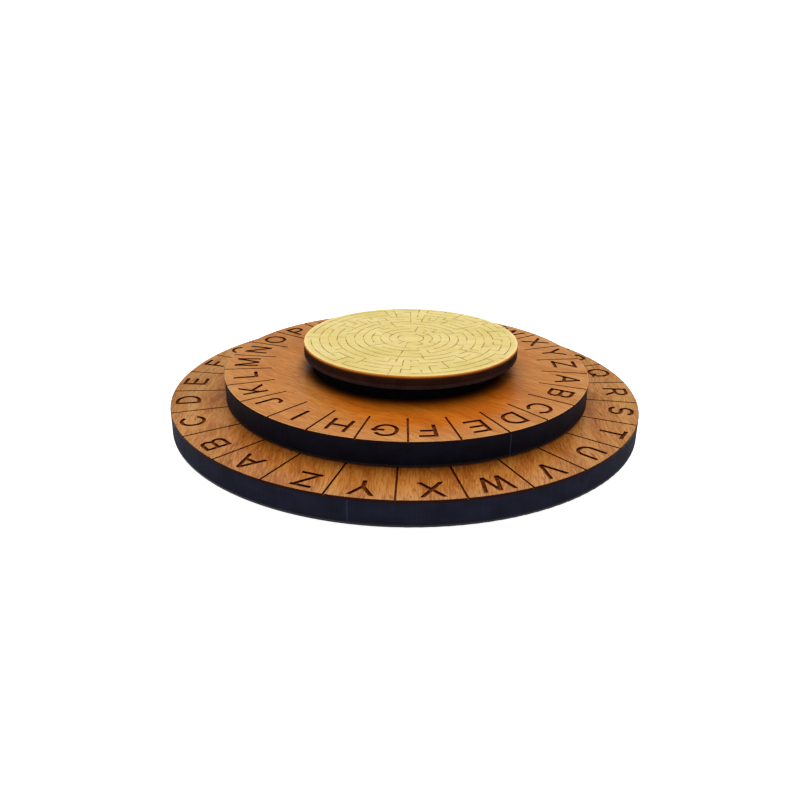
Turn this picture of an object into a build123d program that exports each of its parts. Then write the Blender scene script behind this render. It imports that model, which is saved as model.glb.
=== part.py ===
from build123d import *
import math
import os
import random

# Cipher wheel: a letter wheel that turns on a larger letter wheel, with a maze-topped knob glued to it.
# The frame's origin is on the table, on the pivot's axis. +Z is up, and -Y is the side that faces the user.

# --- Driving dimensions, in millimetres -------------------------------------------------------------------

outer_radius = 60.0
inner_radius = 46.7
cap_radius = 27.5
neck_radius = 24.4
inner_offset = 0.4           # the inner wheel and the neck are this far off the pivot's axis, towards +X
cap_offset = 1.4             # and the cap this far

veneer = 0.6                 # face and back veneers of both wheels
board = 5.0                  # the board between them
ply = 1.0                    # face and back plies of the cap
ply_core = 1.4
neck_height = 3.7
wheel_gap = 0.2              # the free gap between the two wheels
rim_round = 0.2              # rounding of the veneers' and plies' outer edges
pad_height = 1.0
pad_radius = 6.0
pad_count = 4
pad_circle = 46.0            # the radius that the pads are set out on

letters = "ABCDEFGHIJKLMNOPQRSTUVWXYZ"
sector = 360 / len(letters)
outer_letter = ("X", 5.45)   # this letter stands this many degrees from -Y, counter-clockwise from above
inner_letter = ("F", 7.55)
cap_height = 6.1             # height of the engraved capitals
stroke = 0.88                # width of their strokes
outer_base_line = 52.6       # radius that the letters stand on
inner_base_line = 38.5
# Some letters stand off the middle of their sector, by these degrees clockwise from above.
outer_shift = {"A": 0.4, "B": -0.7, "C": 0.4, "D": 0.7, "F": 1.0, "Q": -0.8}
outer_shift |= {"S": -0.6, "U": -0.7, "V": -0.5, "W": -0.3, "X": -0.5, "Z": -1.5}
inner_shift = {"C": 1.8, "D": 0.6, "E": -0.4, "F": 1.3, "G": -0.4, "I": 0.5, "J": 1.4, "K": 0.3}
inner_shift |= {"L": 0.7, "O": -0.9, "P": -1.0, "W": -1.0, "Y": -0.8, "Z": -1.5}
outer_divider_end = 43.0     # the dividers run in from the rim to here
inner_divider_end = 35.0
divider_width = 0.48
engraving = 0.4              # depth of letters and dividers
kerf_radius = 0.12           # the groove that the laser leaves in the board where it starts on a rim
outer_kerf_angle = -10.6     # degrees from -Y, counter-clockwise from above
inner_kerf_angle = 29.0

maze_lanes = 11
maze_inner_radius = 3.35
maze_lane_width = 2.235
maze_margin = 0.25           # the lines stop this far inside the cap's rim
maze_turn = 11.25            # angle of the first spoke
maze_first_cells = 8         # cells in the innermost lane
maze_widest_cell = 1.5       # a cell is cut in two where it would be this many lanes wide
maze_mouth = (75, 130)       # the ring around the centre is open between these angles from +X
maze_width = 0.22
maze_depth = 0.15
maze_ring_pull = 3           # how much rather the ways run along a lane than across it
maze_seed = 2247

post_radius = 3.0
bore_clearance = 0.05        # on the radius, for both wheels
flange_radius = 7.0
flange_height = 1.3
flange_sink = 0.5            # the flange lies this far inside the underside
flange_recess_radius = 7.5
flange_chamfer = 0.3
slot_width = 1.2
slot_depth = 0.6
slot_length = 20.0           # longer than the flange and the screw's head are wide
thread_hole_radius = 2.0
thread_hole_depth = 8.0
shank_radius = 1.95
shank_length = 7.0
screw_head_radius = 4.0
screw_head_height = 1.6
screw_head_round = 0.5
post_stand = 0.1             # the post's end stands this far above the inner wheel
thrust_washer_radius = 10.0
thrust_washer_hole_radius = 10.3
thrust_clearance = 0.05      # left above the thrust washer and above the flat washer
washer_bore_radius = 3.1
washer_radius = 6.0
washer_height = 0.5
washer_recess_radius = 6.3
spring_radius = 5.75
spring_thickness = 0.4
neck_hole_radius = 5.8

# --- Heights of the layers, worked out from the table up --------------------------------------------------

outer_bottom = pad_height
outer_core_bottom = outer_bottom + veneer
outer_core_top = outer_core_bottom + board
outer_top = outer_core_top + veneer
inner_bottom = outer_top + wheel_gap
inner_core_bottom = inner_bottom + veneer
inner_core_top = inner_core_bottom + board
inner_top = inner_core_top + veneer
cap_bottom = inner_top + neck_height
cap_core_bottom = cap_bottom + ply
cap_core_top = cap_core_bottom + ply_core
cap_top = cap_core_top + ply

flange_bottom = outer_bottom + flange_sink
flange_top = flange_bottom + flange_height
washer_floor = inner_core_top - veneer
post_top = inner_top + post_stand
bore_radius = post_radius + bore_clearance

os.makedirs("parts", exist_ok=True)


def save(piece, name):
    """Label a finished piece and write it under its own name."""
    piece.part.label = name
    export_step(piece.part, f"parts/{name}.step")


def rim_edge(piece, level):
    """The outermost circle among a disc's lowest (0) or highest (-1) edges."""
    return piece.edges().group_by(Axis.Z)[level].sort_by(SortBy.RADIUS)[-1]


# --- The engraved capitals --------------------------------------------------------------------------------
# Each letter is a few strokes of one width. Points are in cap heights, from the middle of the base line.

half = stroke / 2 / cap_height
low = half                   # the centre line of a level stroke that stands on the base line
high = 1 - half              # and of one that hangs from the cap line


def straight(*points):
    """A run of straight strokes with square corners."""
    with BuildLine(mode=Mode.PRIVATE) as run:
        Polyline(*[(x * cap_height, y * cap_height) for x, y in points])
    return run.line


def slanted(start, end):
    """One slanted stroke. An end on the base or cap line runs past it, and is trimmed level with it later."""
    start, end = Vector(*start) * cap_height, Vector(*end) * cap_height
    past = (end - start).normalized() * 2 * stroke
    with BuildLine(mode=Mode.PRIVATE) as run:
        Line(
            start - past if start.Y in (0, cap_height) else start,
            end + past if end.Y in (0, cap_height) else end,
        )
    return run.line


def bend(x, y, radius, start_angle, arc_size):
    """A round stroke about the centre x, y."""
    with BuildLine(mode=Mode.PRIVATE) as run:
        CenterArc((x * cap_height, y * cap_height), radius * cap_height, start_angle, arc_size)
    return run.line


def bowl(left, right, bottom, top):
    """The closed half-round of B, D, P and R, from the stem at left out to the arc's centre at right."""
    radius = (top - bottom) / 2
    return [
        straight((left, top), (right, top)),
        bend(right, bottom + radius, radius, -90, 180),
        straight((right, bottom), (left, bottom)),
    ]


def round_side(radius, side):
    """The upright between the top and bottom bends of a round letter."""
    return straight((side * radius, low + radius), (side * radius, high - radius))


round_c = 0.385              # radius of the bends in C and G
round_o = 0.405              # and in O and Q
round_s = (high - low) / 4
round_u = 0.335
middle = 0.5

letter_strokes = {
    "A": [slanted((-0.4, 0), (0, 1)), slanted((0.4, 0), (0, 1)), straight((-0.25, 0.36), (0.25, 0.36))],
    "B": [straight((-0.31, 0), (-0.31, 1))]
    + bowl(-0.31, 0.06, middle, high)
    + bowl(-0.31, 0.09, low, middle),
    "C": [bend(0, high - round_c, round_c, 28, 152), round_side(round_c, -1)]
    + [bend(0, low + round_c, round_c, 180, 152)],
    "D": [straight((-0.35, 0), (-0.35, 1))] + bowl(-0.35, -0.1, low, high),
    "E": [straight((0.34, high), (-0.31, high), (-0.31, low), (0.36, low))]
    + [straight((-0.31, 0.52), (0.3, 0.52))],
    "F": [straight((0.33, high), (-0.28, high), (-0.28, 0)), straight((-0.28, middle), (0.25, middle))],
    "G": [bend(0, high - round_c, round_c, 28, 152), round_side(round_c, -1)]
    + [bend(0, low + round_c, round_c, 180, 180)]
    + [straight((round_c, low + round_c), (round_c, 0.48), (0.05, 0.48))],
    "H": [straight((-0.34, 0), (-0.34, 1)), straight((0.34, 0), (0.34, 1))]
    + [straight((-0.34, 0.52), (0.34, 0.52))],
    "I": [straight((0, 0), (0, 1))],
    "J": [straight((0.2, 1), (0.2, 0.27)), bend(-0.025, 0.27, 0.225, 180, 180)],
    "K": [straight((-0.33, 0), (-0.33, 1))]
    + [slanted((-0.33, 0.33), (0.32, 1)), slanted((-0.09, 0.57), (0.36, 0))],
    "L": [straight((-0.26, 1), (-0.26, low), (0.32, low))],
    "M": [straight((-0.4, 0), (-0.4, 1)), straight((0.4, 0), (0.4, 1))]
    + [slanted((-0.38, 1), (0, 0)), slanted((0.38, 1), (0, 0))],
    "N": [straight((-0.34, 0), (-0.34, 1)), straight((0.34, 0), (0.34, 1)), slanted((-0.33, 1), (0.33, 0))],
    "O": [bend(0, high - round_o, round_o, 0, 180), bend(0, low + round_o, round_o, 180, 180)]
    + [round_side(round_o, -1), round_side(round_o, 1)],
    "P": [straight((-0.3, 0), (-0.3, 1))] + bowl(-0.3, 0.06, 0.46, high),
    "Q": [bend(0, high - round_o, round_o, 0, 180), bend(0, low + round_o, round_o, 180, 180)]
    + [round_side(round_o, -1), round_side(round_o, 1), slanted((0.08, 0.3), (0.42, 0))],
    "R": [straight((-0.33, 0), (-0.33, 1)), slanted((0.02, 0.47), (0.36, 0))] + bowl(-0.33, 0.06, 0.47, high),
    "S": [bend(0.09, high - round_s, round_s, 10, 80), straight((0.09, high), (-0.09, high))]
    + [bend(-0.09, high - round_s, round_s, 90, 180), straight((-0.09, middle), (0.09, middle))]
    + [bend(0.09, low + round_s, round_s, -90, 180), straight((0.09, low), (-0.09, low))]
    + [bend(-0.09, low + round_s, round_s, 190, 80)],
    "T": [straight((-0.39, high), (0.39, high)), straight((0, high), (0, 0))],
    "U": [straight((-round_u, 1), (-round_u, low + round_u)), bend(0, low + round_u, round_u, 180, 180)]
    + [straight((round_u, 1), (round_u, low + round_u))],
    "V": [slanted((-0.38, 1), (0, 0)), slanted((0.38, 1), (0, 0))],
    "W": [slanted((-0.54, 1), (-0.27, 0)), slanted((-0.27, 0), (0, 1))]
    + [slanted((0, 1), (0.27, 0)), slanted((0.27, 0), (0.54, 1))],
    "X": [slanted((-0.38, 1), (0.38, 0)), slanted((-0.38, 0), (0.38, 1))],
    "Y": [slanted((-0.39, 1), (0, 0.42)), slanted((0.39, 1), (0, 0.42)), straight((0, 0.45), (0, 0))],
    "Z": [straight((-0.37, high), (0.4, high)), straight((-0.41, low), (0.4, low))]
    + [slanted((-0.36, 0), (0.35, 1))],
}


def letter_shape(letter):
    """The outline of one capital that stands on the base line, trimmed to its cap height."""
    with BuildSketch(mode=Mode.PRIVATE) as shape:
        for line in letter_strokes[letter]:
            trace(line, line_width=stroke)
        with Locations((0, cap_height / 2)):
            Rectangle(2 * cap_height, cap_height, mode=Mode.INTERSECT)
    return shape.sketch


def letter_angle(letter, set_letter):
    """Angle of a letter's sector about +Z, from the +X axis, where the alphabet runs clockwise."""
    name, from_front = set_letter
    return from_front - 90 + (letters.index(name) - letters.index(letter)) * sector


def ring_lines(radius, base_line, divider_end, set_letter, shift):
    """The letters of one wheel, tops outward, and the dividers between them, which are open at the rim."""
    with BuildSketch(mode=Mode.PRIVATE) as ring:
        for letter in letters:
            angle = letter_angle(letter, set_letter) - shift.get(letter, 0)
            foot = Vector(base_line, 0).rotate(Axis.Z, angle)
            with Locations(Location((foot.X, foot.Y, 0), (0, 0, angle - 90))):
                add(letter_shape(letter))
        first_divider = letter_angle("A", set_letter) + sector / 2
        divider_length = radius + 1 - divider_end
        with PolarLocations(divider_end + divider_length / 2, len(letters), first_divider):
            Rectangle(divider_length, divider_width)
    return ring.sketch


def kerf_notch(radius, angle):
    """Take the laser's start groove out of the rim in the sketch that is being drawn."""
    mark = Vector(radius, 0).rotate(Axis.Z, angle - 90)
    with Locations((mark.X, mark.Y)):
        Circle(kerf_radius, mode=Mode.SUBTRACT)


# --- Outer wheel ------------------------------------------------------------------------------------------

with BuildPart() as outer_wheel_back:
    with BuildSketch(Plane.XY.offset(outer_bottom)):
        Circle(outer_radius)
        Circle(flange_recess_radius, mode=Mode.SUBTRACT)
    extrude(amount=veneer)
    fillet(rim_edge(outer_wheel_back, 0), rim_round)
save(outer_wheel_back, "outer_wheel_back")

with BuildPart() as outer_wheel_core:
    with BuildSketch(Plane.XY.offset(outer_core_bottom)):
        Circle(outer_radius)
        Circle(bore_radius, mode=Mode.SUBTRACT)
        kerf_notch(outer_radius, outer_kerf_angle)
    extrude(amount=board)
    with BuildSketch(Plane.XY.offset(outer_core_bottom)):
        Circle(flange_recess_radius)
    extrude(amount=flange_top - outer_core_bottom, mode=Mode.SUBTRACT)
save(outer_wheel_core, "outer_wheel_core")

with BuildPart() as outer_wheel_face:
    with BuildSketch(Plane.XY.offset(outer_core_top)):
        Circle(outer_radius)
        Circle(bore_radius, mode=Mode.SUBTRACT)
    extrude(amount=veneer)
    fillet(rim_edge(outer_wheel_face, -1), rim_round)
    with BuildSketch(Plane.XY.offset(outer_top)):
        add(ring_lines(outer_radius, outer_base_line, outer_divider_end, outer_letter, outer_shift))
    extrude(amount=-engraving, mode=Mode.SUBTRACT)
save(outer_wheel_face, "outer_wheel_face")

for number in range(pad_count):
    with BuildPart() as cork_pad:
        with BuildSketch():
            with PolarLocations(pad_circle, 1, start_angle=(number + 0.5) * 360 / pad_count):
                Circle(pad_radius)
        extrude(amount=pad_height)
    save(cork_pad, f"cork_pad_{number + 1}")

# --- Inner wheel ------------------------------------------------------------------------------------------

with BuildPart() as inner_wheel_back:
    with BuildSketch(Plane.XY.offset(inner_bottom)):
        with Locations((inner_offset, 0)):
            Circle(inner_radius)
        Circle(thrust_washer_hole_radius, mode=Mode.SUBTRACT)
    extrude(amount=veneer)
    fillet(rim_edge(inner_wheel_back, 0), rim_round)
save(inner_wheel_back, "inner_wheel_back")

with BuildPart() as inner_wheel_core:
    with BuildSketch(Plane.XY.offset(inner_core_bottom)):
        with Locations((inner_offset, 0)):
            Circle(inner_radius)
            kerf_notch(inner_radius, inner_kerf_angle)
        Circle(bore_radius, mode=Mode.SUBTRACT)
    extrude(amount=board)
    with BuildSketch(Plane.XY.offset(washer_floor)):
        Circle(washer_recess_radius)
    extrude(amount=inner_core_top - washer_floor, mode=Mode.SUBTRACT)
save(inner_wheel_core, "inner_wheel_core")

with BuildPart() as inner_wheel_face:
    with BuildSketch(Plane.XY.offset(inner_core_top)):
        with Locations((inner_offset, 0)):
            Circle(inner_radius)
        Circle(washer_recess_radius, mode=Mode.SUBTRACT)
    extrude(amount=veneer)
    fillet(rim_edge(inner_wheel_face, -1), rim_round)
    with BuildSketch(Plane.XY.offset(inner_top)):
        with Locations((inner_offset, 0)):
            add(ring_lines(inner_radius, inner_base_line, inner_divider_end, inner_letter, inner_shift))
    extrude(amount=-engraving, mode=Mode.SUBTRACT)
save(inner_wheel_face, "inner_wheel_face")

# --- Pivot: binding post, screw, washers and spring -------------------------------------------------------

with BuildPart() as binding_post:
    with BuildSketch(Plane.XY.offset(flange_bottom)):
        Circle(flange_radius)
    extrude(amount=flange_height)
    chamfer(binding_post.edges().group_by(Axis.Z)[0], flange_chamfer)
    with BuildSketch(Plane.XY.offset(flange_top)):
        Circle(post_radius)
    extrude(amount=post_top - flange_top)
    with BuildSketch(Plane.XY.offset(post_top)):
        Circle(thread_hole_radius)
    extrude(amount=-thread_hole_depth, mode=Mode.SUBTRACT)
    with BuildSketch(Plane.XY.offset(flange_bottom)):
        Rectangle(slot_length, slot_width)
    extrude(amount=slot_depth, mode=Mode.SUBTRACT)
save(binding_post, "binding_post")

with BuildPart() as post_screw:
    with BuildSketch(Plane.XY.offset(post_top)):
        Circle(screw_head_radius)
    extrude(amount=screw_head_height)
    fillet(post_screw.edges().group_by(Axis.Z)[-1], screw_head_round)
    with BuildSketch(Plane.XY.offset(post_top)):
        Circle(shank_radius)
    extrude(amount=-shank_length)
    with BuildSketch(Plane.XY.offset(post_top + screw_head_height)):
        Rectangle(slot_length, slot_width)
    extrude(amount=-slot_depth, mode=Mode.SUBTRACT)
save(post_screw, "post_screw")

with BuildPart() as thrust_washer:
    with BuildSketch(Plane.XY.offset(outer_top)):
        Circle(thrust_washer_radius)
        Circle(washer_bore_radius, mode=Mode.SUBTRACT)
    extrude(amount=inner_core_bottom - outer_top - thrust_clearance)
save(thrust_washer, "thrust_washer")

with BuildPart() as flat_washer:
    with BuildSketch(Plane.XY.offset(washer_floor)):
        Circle(washer_radius)
        Circle(washer_bore_radius, mode=Mode.SUBTRACT)
    extrude(amount=washer_height)
save(flat_washer, "flat_washer")

# The spring is a shallow cone: its wide end bears on the flat washer and its narrow end on the screw's head.
spring_bottom = washer_floor + washer_height + thrust_clearance
with BuildPart() as disc_spring:
    with BuildSketch(Plane.XZ):
        with BuildLine():
            Polyline(
                (spring_radius, spring_bottom),
                (spring_radius, spring_bottom + spring_thickness),
                (washer_bore_radius, post_top),
                (washer_bore_radius, post_top - spring_thickness),
                close=True,
            )
        make_face()
    revolve(axis=Axis.Z)
save(disc_spring, "disc_spring")

# --- Knob: neck and three-ply cap, glued on a little off the pivot's axis ---------------------------------

with BuildPart() as knob_neck:
    with BuildSketch(Plane.XY.offset(inner_top)):
        with Locations((inner_offset, 0)):
            Circle(neck_radius)
            Circle(neck_hole_radius, mode=Mode.SUBTRACT)
    extrude(amount=neck_height)
save(knob_neck, "knob_neck")

with BuildPart() as knob_cap_back:
    with BuildSketch(Plane.XY.offset(cap_bottom)):
        with Locations((cap_offset, 0)):
            Circle(cap_radius)
    extrude(amount=ply)
    fillet(rim_edge(knob_cap_back, 0), rim_round)
save(knob_cap_back, "knob_cap_back")

with BuildPart() as knob_cap_core:
    with BuildSketch(Plane.XY.offset(cap_core_bottom)):
        with Locations((cap_offset, 0)):
            Circle(cap_radius)
    extrude(amount=ply_core)
save(knob_cap_core, "knob_cap_core")

# --- The scored maze: lanes of cells between rings, where every cell can be reached ------------------------
# The first ring is the wall around the centre, and the last lane is bounded by the cap's own rim.

# Spokes that always stand: angle from +X, from which ring, to which ring.
long_spokes = [
    (56.25, 5, 7), (56.25, 8, 10), (67.5, 6, 8), (78.75, 5, 8), (84.375, 7, 11), (90, 3, 9), (101.25, 7, 10),
    (106.875, 7, 10), (112.5, 3, 5), (123.75, 7, 8), (258.75, 0, 2), (258.75, 3, 7), (258.75, 8, 11),
    (264.375, 7, 10), (270, 6, 7), (275.625, 9, 10), (281.25, 2, 3), (281.25, 4, 6), (281.25, 8, 10),
]
# Arcs that always stand: ring, from which angle, to which angle.
long_arcs = [
    (1, 157.5, 202.5), (1, 337.5, 371.25), (2, 168.75, 236.25), (2, 326.25, 348.75), (3, 168.75, 191.25),
    (3, 326.25, 360), (4, 168.75, 213.75), (4, 337.5, 348.75), (5, 168.75, 202.5), (5, 348.75, 371.25),
    (6, 191.25, 225), (6, 337.5, 360), (7, 180, 236.25), (7, 337.5, 348.75), (8, 168.75, 180), (8, 0, 11.25),
    (8, 315, 337.5), (9, 180, 213.75), (9, 337.5, 348.75), (10, 191.25, 225), (10, 348.75, 360),
]


def ring_radius(ring):
    return min(maze_inner_radius + ring * maze_lane_width, cap_radius - maze_margin)


def cells_in_lane(lane):
    """Twice as many cells each time that they would otherwise be much wider than the lane."""
    around = 2 * math.pi * (ring_radius(lane) + maze_lane_width / 2)
    count = maze_first_cells
    while around / count > maze_widest_cell * maze_lane_width:
        count *= 2
    return count


def inward_neighbour(lane, cell):
    return lane - 1, cell * cells_in_lane(lane - 1) // cells_in_lane(lane)


def outward_neighbours(lane, cell):
    """The cells of the next lane out that share an arc with this cell."""
    ratio = cells_in_lane(lane + 1) // cells_in_lane(lane)
    return [(lane + 1, cell * ratio + k) for k in range(ratio)]


def neighbours(lane, cell):
    count = cells_in_lane(lane)
    found = [(lane, (cell + 1) % count), (lane, (cell - 1) % count)]
    if lane + 1 < maze_lanes:
        found += outward_neighbours(lane, cell)
    if lane > 0:
        found.append(inward_neighbour(lane, cell))
    return found


def standing_walls():
    """The pairs of cells that the long spokes and arcs keep apart."""
    pairs = set()
    for angle, first_ring, last_ring in long_spokes:
        for lane in range(first_ring, last_ring):
            count = cells_in_lane(lane)
            cell = round((angle - maze_turn) * count / 360) % count
            pairs.add(((lane, (cell - 1) % count), (lane, cell)))
    for ring, first_angle, last_angle in long_arcs:
        count = cells_in_lane(ring)
        first_cell = round((first_angle - maze_turn) * count / 360)
        last_cell = round((last_angle - maze_turn) * count / 360)
        for cell in range(first_cell, last_cell):
            pairs.add(((ring, cell % count), inward_neighbour(ring, cell % count)))
    return pairs | {(b, a) for a, b in pairs}


def dig_maze(seed):
    """Walk through all the cells at random, mostly along the lanes, and return the pairs with an open way."""
    chance = random.Random(seed)
    closed = standing_walls()
    path = [(0, 0)]
    reached = {(0, 0)}
    ways = set()
    while path:
        here = path[-1]
        ahead = [cell for cell in neighbours(*here) if cell not in reached and (here, cell) not in closed]
        if not ahead:
            path.pop()
            continue
        pulls = [maze_ring_pull if cell[0] == here[0] else 1 for cell in ahead]
        step = chance.choices(ahead, pulls)[0]
        ways |= {(here, step), (step, here)}
        reached.add(step)
        path.append(step)
    return ways


def maze_walls():
    """The walls left standing: arcs as (ring, cell outside it), and spokes as (lane, angle)."""
    ways = dig_maze(maze_seed)
    arcs, spokes = set(), []
    for lane in range(maze_lanes):
        count = cells_in_lane(lane)
        for cell in range(count):
            if ((lane, cell), (lane, (cell + 1) % count)) not in ways:
                spokes.append((lane, maze_turn + (cell + 1) * 360 / count))
            if lane > 0 and ((lane, cell), inward_neighbour(lane, cell)) not in ways:
                arcs.add((lane, cell))
    return arcs, spokes


def arc_runs(ring, arcs):
    """Join the arcs of neighbouring cells on one ring into runs of (start angle, arc size)."""
    count = cells_in_lane(ring)
    runs = []
    for start in range(count):
        length = 0
        if (ring, (start - 1) % count) not in arcs:
            while (ring, (start + length) % count) in arcs:
                length += 1
        if length:
            runs.append((maze_turn + start * 360 / count, length * 360 / count))
    return runs


with BuildPart() as knob_cap_face:
    with BuildSketch(Plane.XY.offset(cap_core_top)):
        with Locations((cap_offset, 0)):
            Circle(cap_radius)
    extrude(amount=ply)
    fillet(rim_edge(knob_cap_face, -1), rim_round)
    wall_arcs, wall_spokes = maze_walls()
    with BuildLine(mode=Mode.PRIVATE) as wall_lines:
        CenterArc((cap_offset, 0), ring_radius(0), maze_mouth[1], 360 - maze_mouth[1] + maze_mouth[0])
        for ring in range(1, maze_lanes):
            for start_angle, arc_size in arc_runs(ring, wall_arcs):
                CenterArc((cap_offset, 0), ring_radius(ring), start_angle, arc_size)
    with BuildSketch(Plane.XY.offset(cap_top)):
        trace([edge for edge in wall_lines.edges()], line_width=maze_width)
        with Locations((cap_offset, 0)):
            for lane, angle in wall_spokes:
                spoke_start, spoke_end = ring_radius(lane), ring_radius(lane + 1)
                with PolarLocations((spoke_start + spoke_end) / 2, 1, start_angle=angle):
                    Rectangle(spoke_end - spoke_start, maze_width)
    extrude(amount=-maze_depth, mode=Mode.SUBTRACT)
save(knob_cap_face, "knob_cap_face")
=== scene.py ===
# Cipher wheel: camera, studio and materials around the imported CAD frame. Lengths are in metres.
import math

import bpy
from mathutils import Matrix, Vector


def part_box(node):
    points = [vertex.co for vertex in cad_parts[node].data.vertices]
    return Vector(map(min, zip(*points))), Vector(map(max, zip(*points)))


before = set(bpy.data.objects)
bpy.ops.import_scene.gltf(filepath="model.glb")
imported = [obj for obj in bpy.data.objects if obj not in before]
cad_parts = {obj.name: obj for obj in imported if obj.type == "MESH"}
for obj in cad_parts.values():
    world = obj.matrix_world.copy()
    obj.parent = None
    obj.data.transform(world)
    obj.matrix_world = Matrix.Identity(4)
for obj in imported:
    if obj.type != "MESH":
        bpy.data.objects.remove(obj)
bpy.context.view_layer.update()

MM = 0.001

# --- Places taken from the frame ----------------------------------------------------------------------------


def top_of(node):
    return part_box(node)[1].z


def bottom_of(node):
    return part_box(node)[0].z


def radius_of(node):
    low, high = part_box(node)
    return (high.x - low.x) / 2


def centre_of(node):
    low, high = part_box(node)
    return (low + high) / 2


wheel_radius = radius_of("outer_wheel_face")
wheel_bottom = bottom_of("outer_wheel_back")
neck_axis = centre_of("knob_neck")
neck_radius = radius_of("knob_neck")
cap_axis = centre_of("knob_cap_face")
cap_radius = radius_of("knob_cap_face")

# --- Camera -------------------------------------------------------------------------------------------------

CAMERA_BACK = 3.211      # wheel radii in front of the pivot
CAMERA_UP = 1.384        # wheel radii above the wheel's underside
CAMERA_PITCH = 22.74     # degrees below level
CAMERA_YAW = 0.35        # degrees to the left
CAMERA_ROLL = 0.77       # degrees anticlockwise, seen from behind the camera
CAMERA_LENS = 35.15      # millimetres
SENSOR_WIDTH = 36.0      # millimetres
NEAREST_SEEN = 0.005
FURTHEST_SEEN = 50.0


def add_camera():
    data = bpy.data.cameras.new("camera")
    data.lens = CAMERA_LENS
    data.sensor_width = SENSOR_WIDTH
    data.clip_start = NEAREST_SEEN
    data.clip_end = FURTHEST_SEEN
    camera = bpy.data.objects.new("camera", data)
    camera.matrix_world = (
        Matrix.Translation((0, -CAMERA_BACK * wheel_radius, CAMERA_UP * wheel_radius + wheel_bottom))
        @ Matrix.Rotation(math.radians(CAMERA_YAW), 4, "Z")
        @ Matrix.Rotation(math.radians(90 - CAMERA_PITCH), 4, "X")
        @ Matrix.Rotation(math.radians(CAMERA_ROLL), 4, "Z")
    )
    bpy.context.scene.collection.objects.link(camera)
    bpy.context.scene.camera = camera


add_camera()

# --- Node graphs --------------------------------------------------------------------------------------------


class Graph:
    """The node tree of one material, with short calls for the nodes that the materials below share."""

    def __init__(self, name, **fixed):
        self.material = bpy.data.materials.new(name)
        self.material.use_nodes = True
        self.tree = self.material.node_tree
        self.shader = self.tree.nodes["Principled BSDF"]
        for socket, value in fixed.items():
            self.shader.inputs[socket.replace("_", " ")].default_value = value
        coordinates = self.tree.nodes.new("ShaderNodeTexCoord")
        self.place = coordinates.outputs["Object"]
        split_place = self.tree.nodes.new("ShaderNodeSeparateXYZ")
        self.tree.links.new(self.place, split_place.inputs[0])
        self.along_x, self.along_y, self.height = split_place.outputs
        split_normal = self.tree.nodes.new("ShaderNodeSeparateXYZ")
        self.tree.links.new(coordinates.outputs["Normal"], split_normal.inputs[0])
        self.facing_up = split_normal.outputs["Z"]

    def put(self, socket, value):
        """Link an output to a socket, or set the socket to a plain value."""
        if isinstance(value, bpy.types.NodeSocket):
            self.tree.links.new(value, socket)
        else:
            socket.default_value = value

    def paint(self, socket, value):
        self.put(self.shader.inputs[socket], value)

    def math(self, operation, a, b=0.0):
        node = self.tree.nodes.new("ShaderNodeMath")
        node.operation = operation
        self.put(node.inputs[0], a)
        self.put(node.inputs[1], b)
        return node.outputs[0]

    def from_axis(self, x, y):
        """Level distance from the upright line through x, y."""
        across = self.math("SUBTRACT", self.along_x, x)
        along = self.math("SUBTRACT", self.along_y, y)
        squares = self.math("ADD", self.math("MULTIPLY", across, across), self.math("MULTIPLY", along, along))
        return self.math("SQRT", squares)

    def span(self, value, low, high, to_low=0.0, to_high=1.0):
        """Map low..high to to_low..to_high, with a smooth start and end."""
        node = self.tree.nodes.new("ShaderNodeMapRange")
        node.interpolation_type = "SMOOTHSTEP"
        for socket, number in zip(node.inputs, (value, low, high, to_low, to_high)):
            self.put(socket, number)
        return node.outputs[0]

    def stretched(self, size, turn=0.0, drift=None, bend=0.0):
        """Object coordinates in units of the given x, y, z sizes, after a turn about Z in degrees.

        drift is a slow noise that moves the coordinates about on the level by up to the distance bend.
        """
        source = self.place
        if drift is not None:
            moved = self.tree.nodes.new("ShaderNodeVectorMath")
            moved.operation = "MULTIPLY_ADD"
            self.put(moved.inputs[0], drift)
            moved.inputs[1].default_value = (bend, bend, 0)
            self.put(moved.inputs[2], self.place)
            source = moved.outputs[0]
        turned = self.tree.nodes.new("ShaderNodeMapping")
        turned.vector_type = "POINT"
        turned.inputs["Rotation"].default_value = (0, 0, math.radians(turn))
        self.put(turned.inputs["Vector"], source)
        scaled = self.tree.nodes.new("ShaderNodeMapping")
        scaled.vector_type = "POINT"
        scaled.inputs["Scale"].default_value = tuple(1 / length for length in size)
        self.put(scaled.inputs["Vector"], turned.outputs[0])
        return scaled.outputs[0]

    def even(self, size):
        """Object coordinates in units of one size in every direction."""
        return self.stretched((size, size, size))

    def noise(self, vector, detail=2.0, roughness=0.5, distortion=0.0, colour=False):
        node = self.tree.nodes.new("ShaderNodeTexNoise")
        self.put(node.inputs["Vector"], vector)
        node.inputs["Scale"].default_value = 1.0
        node.inputs["Detail"].default_value = detail
        node.inputs["Roughness"].default_value = roughness
        node.inputs["Distortion"].default_value = distortion
        return node.outputs["Color" if colour else "Fac"]

    def mix(self, factor, a, b, blend="MIX"):
        node = self.tree.nodes.new("ShaderNodeMix")
        node.data_type = "RGBA"
        node.blend_type = blend
        self.put(node.inputs["Factor"], factor)
        self.put(node.inputs["A"], a)
        self.put(node.inputs["B"], b)
        return node.outputs["Result"]

    def ramp(self, factor, stops):
        """A colour ramp through (position, colour) stops."""
        node = self.tree.nodes.new("ShaderNodeValToRGB")
        elements = node.color_ramp.elements
        while len(elements) < len(stops):
            elements.new(0.5)
        for element, (position, colour) in zip(elements, stops):
            element.position = position
            element.color = colour
        self.put(node.inputs["Fac"], factor)
        return node.outputs["Color"]

    def bump(self, height, depth):
        """Relief of the given depth."""
        node = self.tree.nodes.new("ShaderNodeBump")
        node.inputs["Strength"].default_value = 1.0
        node.inputs["Distance"].default_value = depth
        self.put(node.inputs["Height"], height)
        return node.outputs["Normal"]


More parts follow.
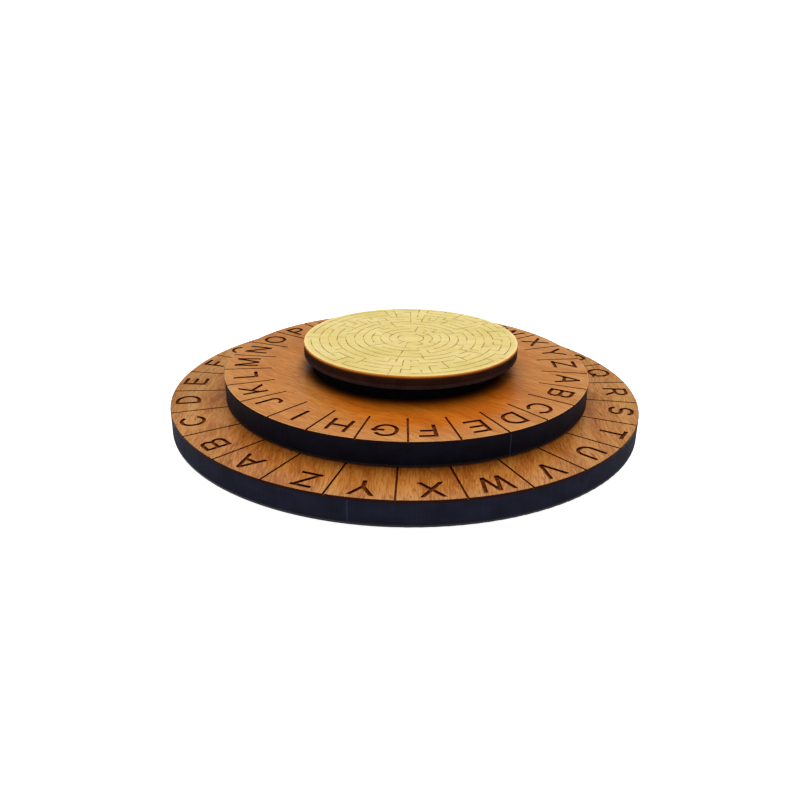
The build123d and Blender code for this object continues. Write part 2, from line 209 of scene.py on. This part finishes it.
def rgb(red, green, blue):
    """A colour given as it looks on screen, 0 to 255, as the linear colour that the shader takes."""
    def linear(value):
        value /= 255
        return value / 12.92 if value <= 0.04045 else ((value + 0.055) / 1.055) ** 2.4
    return (linear(red), linear(green), linear(blue), 1.0)


def wear(material, *nodes):
    """Give a material to every slot of the named CAD nodes."""
    for name in nodes:
        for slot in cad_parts[name].material_slots:
            slot.material = material


# --- Materials ----------------------------------------------------------------------------------------------

WHITE = (1.0, 1.0, 1.0, 1.0)
CHAR = rgb(66, 22, 3)            # laser-burnt wood in the walls of a groove
BURNT_RIM = rgb(34, 15, 12)      # the veneer's own edge, all round the wheel
CHAR_FLOOR = rgb(70, 24, 3)      # scorched floor of a groove
PALE_FLOOR = rgb(122, 62, 20)    # the same, where the laser was quicker
UNDERSIDE_SHADE = rgb(30, 28, 30)         # painted shade near the rim of the underside, which also dims the warm light bounced onto the floor

ENGRAVING_DEPTH = 0.4 * MM
# Bounds for the height of the surface normal. Below the first, a surface counts fully as a wall or as the
# rounded rim, and above the second not at all.
WALL = (0.15, 0.45)
ROUNDED_RIM = (0.90, 0.99)

# The layers of a veneer's grain: the size across and along it, and how far the grain's drift bends it.
FIGURE = (6 * MM, 40 * MM, 14 * MM)
GROWTH_LINES = (0.9 * MM, 16 * MM, 8 * MM)
FIBRES = (0.30 * MM, 3.5 * MM, 4 * MM)
FLECKS = (0.5 * MM, 3.2 * MM, 4 * MM)
DRIFT_SIZE = 22 * MM


def wood_grain(graph, turn, tones):
    """Veneer colour and its fine relief: broad figure, growth lines, fibres, and short dark gum flecks."""
    drift = graph.noise(graph.even(DRIFT_SIZE), detail=1.0, colour=True)

    def along_grain(layer):
        across, along, bend = layer
        return graph.stretched((across, along, across), turn, drift, bend)

    light, mid, dark, fleck = tones
    figure = graph.noise(along_grain(FIGURE), detail=3.0, roughness=0.6, distortion=0.5)
    lines = graph.noise(along_grain(GROWTH_LINES), detail=2.0, roughness=0.6)
    fibres = graph.noise(along_grain(FIBRES), detail=3.0, roughness=0.7)
    flecks = graph.noise(along_grain(FLECKS), detail=1.0)
    colour = graph.ramp(figure, [(0.32, dark), (0.50, mid), (0.66, light)])
    colour = graph.mix(graph.span(lines, 0.46, 0.70, 0.0, 0.65), colour, dark)
    colour = graph.mix(graph.span(fibres, 0.48, 0.66, 0.0, 0.75), colour, light)
    colour = graph.mix(graph.span(fibres, 0.34, 0.50, 0.75, 0.0), colour, dark)
    colour = graph.mix(graph.span(flecks, 0.62, 0.76, 0.0, 0.6), colour, fleck)
    return colour, fibres


def veneer_material(name, node, turn, rim_colour, tone_and_shade, tones):
    """A lacquered face veneer. The laser has burnt its edge and its grooves' walls, and scorched the floors.

    turn is the grain's, and rim_colour is the colour of the face's rounded rim: burnt dark on the large
    wheel, and a pale painted highlight on the small one. The listed patches multiply the tones; most are
    painted shade.
    """
    graph = Graph(name, Specular_IOR_Level=0.01, Coat_Roughness=0.2)
    colour, fibres = wood_grain(graph, turn, tones)
    # multiply in the listed patches, most of them painted shade
    for x, y, full, none, multiplier in tone_and_shade:
        colour = graph.mix(graph.span(graph.from_axis(x, y), none, full), colour, multiplier, "MULTIPLY")
    # the rounded rim takes rim_colour: burnt on the large wheel, a painted highlight on the small one
    on_rim = graph.span(graph.facing_up, *ROUNDED_RIM, 1.0, 0.0)
    colour = graph.mix(on_rim, colour, rim_colour)
    scorch = graph.noise(graph.even(0.5 * MM), detail=2.0)
    floor_colour = graph.mix(graph.span(scorch, 0.35, 0.7), CHAR_FLOOR, PALE_FLOOR)
    face = top_of(node)
    deep, shallow = face - 0.75 * ENGRAVING_DEPTH, face - 0.45 * ENGRAVING_DEPTH
    in_groove = graph.span(graph.height, deep, shallow, 1.0, 0.0)
    colour = graph.mix(in_groove, colour, floor_colour)
    on_wall = graph.span(graph.facing_up, *WALL, 1.0, 0.0)
    colour = graph.mix(on_wall, colour, CHAR)
    axis, radius = centre_of(node), radius_of(node)
    at_rim = graph.span(graph.from_axis(axis.x, axis.y), radius - 0.3 * MM, radius - 0.1 * MM)
    colour = graph.mix(graph.math("MULTIPLY", on_wall, at_rim), colour, BURNT_RIM)
    lasered = graph.math("MAXIMUM", in_groove, on_wall)
    graph.paint("Base Color", colour)
    graph.paint("Coat Weight", graph.span(lasered, 0.0, 1.0, 0.13, 0.0))
    graph.paint("Roughness", graph.span(fibres, 0.2, 0.8, 0.58, 0.44))
    graph.paint("Normal", graph.bump(fibres, 0.015 * MM))
    return graph.material


def char_material(name, base, pale, specular=0.02, roughness=0.75, kerf=None):
    """Laser-burnt edge: faint upright streaks of soot on near-black wood.

    kerf places a painted highlight, a pale line where the laser started its cut: the node that it is on, its
    angle and its colour.
    """
    graph = Graph(name, Specular_IOR_Level=specular)
    streaks = graph.noise(graph.stretched((0.28 * MM, 0.28 * MM, 14 * MM)), detail=3.0, roughness=0.6)
    clouds = graph.noise(graph.stretched((5 * MM, 5 * MM, 3 * MM)), detail=3.0)
    colour = graph.mix(graph.span(streaks, 0.45, 0.85, 0.0, 0.3), base, pale)
    colour = graph.mix(graph.span(clouds, 0.3, 0.75, 0.1, 0.5), colour, pale)
    if kerf is not None:
        node, angle, kerf_highlight = kerf
        axis, radius = centre_of(node), radius_of(node)
        x = axis.x + radius * math.sin(math.radians(angle))
        y = axis.y - radius * math.cos(math.radians(angle))
        from_line = graph.from_axis(x, y)
        # painted highlight: a pale line down the wall where the laser started its cut
        colour = graph.mix(graph.span(from_line, 0.05 * MM, 0.22 * MM, 0.8, 0.0), colour, kerf_highlight)
    graph.paint("Base Color", colour)
    graph.paint("Roughness", graph.span(streaks, 0.3, 0.8, roughness + 0.08, roughness - 0.08))
    graph.paint("Normal", graph.bump(streaks, 0.03 * MM))
    return graph.material


# Degrees that the coordinates of each veneer's grain are turned by. At 0 the grain runs along Y.
OUTER_GRAIN = 0
INNER_GRAIN = -52
BACK_GRAIN = 4
# Where the laser started to cut each board: degrees from the front, anticlockwise seen from above.
OUTER_KERF = -10.6
INNER_KERF = 29.0
# Veneer tones from the lightest to the darkest: light, mid, dark and fleck.
OUTER_CHERRY = [rgb(199, 147, 87), rgb(181, 123, 61), rgb(153, 90, 35), rgb(119, 50, 16)]
INNER_CHERRY = [rgb(205, 146, 87), rgb(191, 126, 66), rgb(176, 110, 52), rgb(152, 80, 35)]
PLAIN_CHERRY = [rgb(196, 138, 84), rgb(176, 114, 62), rgb(148, 90, 44), rgb(120, 62, 26)]
# Where the veneers' tones are multiplied by a colour: around x, y, fully to one radius, and not at all beyond
# another. Most are painted shade: the darker, redder wood in front of the pivot and round the neck.
OUTER_TONE_AND_SHADE = [
    # painted shade: darker, redder wood in front of the pivot, where the small wheel and cap keep off the
    # light
    (0, -10 * MM, 34 * MM, 58 * MM, (1.08, 0.76, 0.36, 1.0)),
    # a darker patch at the far left
    (-56 * MM, 0, 10 * MM, 26 * MM, (0.82, 0.76, 0.64, 1.0)),
]
INNER_TONE_AND_SHADE = [
    # painted shade: darker, redder wood in front of the pivot, under the cap
    (0, -10 * MM, 30 * MM, 48 * MM, (1.0, 0.90, 0.60, 1.0)),
    # a darker patch at the back left
    (-30 * MM, 22 * MM, 6 * MM, 22 * MM, (0.86, 0.80, 0.68, 1.0)),
    # painted shade with warm bounced light: the deep orange-red wood just in front of the cap
    (4 * MM, -17 * MM, 19 * MM, 28 * MM, (1.02, 0.68, 0.20, 1.0)),
    # painted contact shadow: a near-black ring on the veneer close round the neck
    (neck_axis.x, neck_axis.y, neck_radius, neck_radius + 4.6 * MM, (0.10, 0.06, 0.05, 1.0)),
]

outer_veneer = veneer_material(
    "outer_cherry_veneer", "outer_wheel_face", OUTER_GRAIN, rgb(48, 24, 22), OUTER_TONE_AND_SHADE, OUTER_CHERRY
)
# the small wheel's pale rounded rim colour is a painted highlight
inner_veneer = veneer_material(
    "inner_cherry_veneer", "inner_wheel_face", INNER_GRAIN, rgb(216, 160, 92), INNER_TONE_AND_SHADE, INNER_CHERRY
)
# each kerf colour below is a pale painted highlight
outer_edge = char_material(
    "outer_burnt_edge", rgb(20, 20, 30), rgb(32, 34, 50),
    kerf=("outer_wheel_core", OUTER_KERF, rgb(58, 61, 80)),
)
inner_edge = char_material(
    "inner_burnt_edge", rgb(11, 11, 19), rgb(24, 26, 42), specular=0.04, roughness=0.54,
    kerf=("inner_wheel_core", INNER_KERF, rgb(66, 66, 88)),
)
wear(outer_veneer, "outer_wheel_face")
wear(inner_veneer, "inner_wheel_face")
wear(outer_edge, "outer_wheel_core")
wear(inner_edge, "inner_wheel_core")
wear(char_material("neck_burnt_edge", rgb(8, 8, 10), rgb(14, 14, 18)), "knob_neck")


def cap_face_material():
    """Pale ply face: faint level grain, a maze scored through the varnish, a pale painted highlight inside
    the rim, and a toasted orange edge.
    """
    graph = Graph("pale_ply_face", Coat_Weight=0.06, Coat_Roughness=0.3, Specular_IOR_Level=0.03)
    face = top_of("knob_cap_face")
    back = bottom_of("knob_cap_face")

    grain = graph.noise(graph.stretched((9 * MM, 0.22 * MM, 9 * MM)), detail=3.0, roughness=0.6)
    clouds = graph.noise(graph.stretched((16 * MM, 5 * MM, 9 * MM)), detail=2.0)
    colour = graph.ramp(clouds, [(0.32, rgb(219, 199, 116)), (0.62, rgb(234, 214, 144))])
    colour = graph.mix(graph.span(grain, 0.42, 0.75, 0.0, 0.5), colour, rgb(205, 180, 100))
    mottle = graph.noise(graph.stretched((0.9 * MM, 0.5 * MM, 0.9 * MM)), detail=2.0)
    colour = graph.mix(graph.span(mottle, 0.45, 0.72, 0.0, 0.55), colour, rgb(209, 188, 108))
    tint = graph.noise(graph.even(1.6 * MM), detail=1.0, colour=True)
    colour = graph.mix(0.14, colour, tint, "OVERLAY")

    scored = graph.span(graph.height, face - 0.10 * MM, face - 0.02 * MM, 1.0, 0.0)
    burn = graph.noise(graph.even(2.2 * MM), detail=1.0)
    scorch = graph.ramp(burn, [(0.40, rgb(154, 120, 24)), (0.57, rgb(230, 208, 124))])
    colour = graph.mix(scored, colour, scorch)

    radius = graph.from_axis(cap_axis.x, cap_axis.y)
    # painted highlight: a pale cream band just inside the cap's rim
    rim_highlight = graph.span(radius, cap_radius - 0.9 * MM, cap_radius - 0.3 * MM, 0.0, 0.6)
    colour = graph.mix(rim_highlight, colour, rgb(252, 226, 160))
    burnt, brown, orange, gold = rgb(36, 19, 12), rgb(84, 40, 12), rgb(168, 92, 20), rgb(222, 148, 54)
    up_the_edge = graph.span(graph.height, back, face - 0.05 * MM)
    edge = graph.ramp(up_the_edge, [(0.0, burnt), (0.34, brown), (0.72, orange), (1.0, gold)])
    rim = graph.span(radius, cap_radius - 0.20 * MM, cap_radius - 0.10 * MM)
    colour = graph.mix(rim, colour, edge)

    graph.paint("Base Color", colour)
    graph.paint("Roughness", graph.span(grain, 0.2, 0.8, 0.5, 0.6))
    graph.paint("Normal", graph.bump(grain, 0.01 * MM))
    return graph.material


wear(cap_face_material(), "knob_cap_face")
wear(char_material("burnt_ply_core", rgb(32, 17, 12), rgb(60, 36, 28)), "knob_cap_core")
wear(char_material("scorched_ply_back", rgb(40, 27, 26), rgb(78, 54, 51)), "knob_cap_back")


def back_veneer_material():
    """Unlacquered balancing veneer under each wheel, burnt at its rim, and the large one with painted shade
    near its rim.
    """
    graph = Graph("back_veneer", Specular_IOR_Level=0.3)
    colour, fibres = wood_grain(graph, BACK_GRAIN, PLAIN_CHERRY)
    # painted shade: a dark band near the rim of the large underside
    underside_shade = graph.span(graph.from_axis(0, 0), wheel_radius - 8 * MM, wheel_radius - 3 * MM, 0.0, 0.9)
    colour = graph.mix(underside_shade, colour, UNDERSIDE_SHADE)
    on_edge = graph.span(graph.math("ABSOLUTE", graph.facing_up), 0.3, 0.7, 1.0, 0.0)
    graph.paint("Base Color", graph.mix(on_edge, colour, rgb(20, 19, 26)))
    graph.paint("Roughness", graph.span(fibres, 0.2, 0.8, 0.7, 0.55))
    graph.paint("Normal", graph.bump(fibres, 0.02 * MM))
    return graph.material


def metal_material(name, base, tarnish):
    """Satin turned metal with a little tarnish."""
    graph = Graph(name, Metallic=1.0)
    patches = graph.noise(graph.even(3 * MM), detail=4.0)
    marks = graph.noise(graph.even(0.12 * MM), detail=1.0)
    graph.paint("Base Color", graph.mix(graph.span(patches, 0.4, 0.75), base, tarnish))
    graph.paint("Roughness", graph.span(patches, 0.3, 0.7, 0.24, 0.42))
    graph.paint("Normal", graph.bump(marks, 0.004 * MM))
    return graph.material


def nylon_material():
    graph = Graph("nylon", Subsurface_Weight=0.1, Subsurface_Scale=0.001)
    speckle = graph.noise(graph.even(0.4 * MM), detail=2.0)
    graph.paint("Base Color", graph.mix(speckle, rgb(226, 224, 214), rgb(212, 208, 196)))
    graph.paint("Roughness", graph.span(speckle, 0.3, 0.7, 0.4, 0.5))
    graph.paint("Normal", graph.bump(speckle, 0.004 * MM))
    return graph.material


def cork_material():
    """Pressed cork: granules of mixed browns with dark joints and pits."""
    graph = Graph("cork", Specular_IOR_Level=0.2)
    cells = graph.tree.nodes.new("ShaderNodeTexVoronoi")
    edges = graph.tree.nodes.new("ShaderNodeTexVoronoi")
    edges.feature = "DISTANCE_TO_EDGE"
    granules = graph.even(0.9 * MM)
    for node in (cells, edges):
        graph.put(node.inputs["Vector"], granules)
        node.inputs["Scale"].default_value = 1.0
    browns = [(0.2, rgb(150, 104, 62)), (0.5, rgb(184, 138, 90)), (0.8, rgb(206, 166, 118))]
    shade = graph.ramp(cells.outputs["Color"], browns)
    joint = graph.span(edges.outputs["Distance"], 0.0, 0.12, 1.0, 0.0)
    pits = graph.noise(graph.even(0.3 * MM), detail=2.0)
    colour = graph.mix(graph.math("MULTIPLY", joint, 0.7), shade, rgb(88, 54, 30))
    colour = graph.mix(graph.span(pits, 0.62, 0.74), colour, rgb(74, 44, 24))
    graph.paint("Base Color", colour)
    graph.shader.inputs["Roughness"].default_value = 0.9
    graph.paint("Normal", graph.bump(graph.math("SUBTRACT", pits, joint), 0.05 * MM))
    return graph.material


wear(back_veneer_material(), "outer_wheel_back", "inner_wheel_back")
wear(metal_material("turned_brass", rgb(214, 178, 104), rgb(150, 112, 56)), "binding_post", "post_screw")
wear(metal_material("plain_steel", rgb(190, 190, 192), rgb(120, 120, 124)), "flat_washer", "disc_spring")
wear(nylon_material(), "thrust_washer")
wear(cork_material(), *[name for name in sorted(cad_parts) if name.startswith("cork_pad")])

# --- Studio -------------------------------------------------------------------------------------------------

FLOOR_SIZE = 6.0
FLOOR_CLOUDS = 0.4
FLOOR_GLOW = 0.9         # the floor's own light, which makes it plain white and free of shadow
BACKDROP_LIGHT = 1.05    # how bright the camera sees the room behind the wheel


def add_floor():
    bpy.ops.mesh.primitive_plane_add(size=FLOOR_SIZE, location=(0, 0, 0))
    floor = bpy.context.object
    floor.name = "studio_floor"
    graph = Graph("pale_floor", Specular_IOR_Level=0.0)
    tone = graph.noise(graph.even(FLOOR_CLOUDS), detail=1.0)
    graph.paint("Base Color", graph.mix(tone, (0.97, 0.97, 0.97, 1), (0.98, 0.98, 0.98, 1)))
    graph.shader.inputs["Roughness"].default_value = 0.9
    graph.shader.inputs["Emission Color"].default_value = WHITE
    graph.shader.inputs["Emission Strength"].default_value = FLOOR_GLOW
    floor.data.materials.append(graph.material)


def add_world(towards, dim, key, inner_angle, outer_angle):
    """A dim white room with one large soft key light. The camera sees the room as plain white.

    The key light adds its strength within the inner angle of the direction towards it, and fades out by the
    outer angle.
    """
    world = bpy.data.worlds.new("soft_white_studio")
    world.use_nodes = True
    tree = world.node_tree
    background = tree.nodes["Background"]
    background.inputs["Color"].default_value = WHITE
    direction = tree.nodes.new("ShaderNodeTexCoord").outputs["Generated"]
    nearness = tree.nodes.new("ShaderNodeVectorMath")
    nearness.operation = "DOT_PRODUCT"
    tree.links.new(direction, nearness.inputs[0])
    nearness.inputs[1].default_value = Vector(towards).normalized()
    light = tree.nodes.new("ShaderNodeMapRange")
    light.interpolation_type = "SMOOTHSTEP"
    tree.links.new(nearness.outputs["Value"], light.inputs["Value"])
    limits = (math.cos(math.radians(outer_angle)), math.cos(math.radians(inner_angle)), dim, dim + key)
    for name, number in zip(("From Min", "From Max", "To Min", "To Max"), limits):
        light.inputs[name].default_value = number
    seen = tree.nodes.new("ShaderNodeMix")
    seen.data_type = "FLOAT"
    tree.links.new(tree.nodes.new("ShaderNodeLightPath").outputs["Is Camera Ray"], seen.inputs["Factor"])
    tree.links.new(light.outputs["Result"], seen.inputs["A"])
    seen.inputs["B"].default_value = BACKDROP_LIGHT
    tree.links.new(seen.outputs["Result"], background.inputs["Strength"])
    bpy.context.scene.world = world


add_floor()
add_world(towards=(-0.01, 0.55, 0.82), dim=0.46, key=3.05, inner_angle=10, outer_angle=42)
bpy.context.scene.view_settings.view_transform = "Standard"
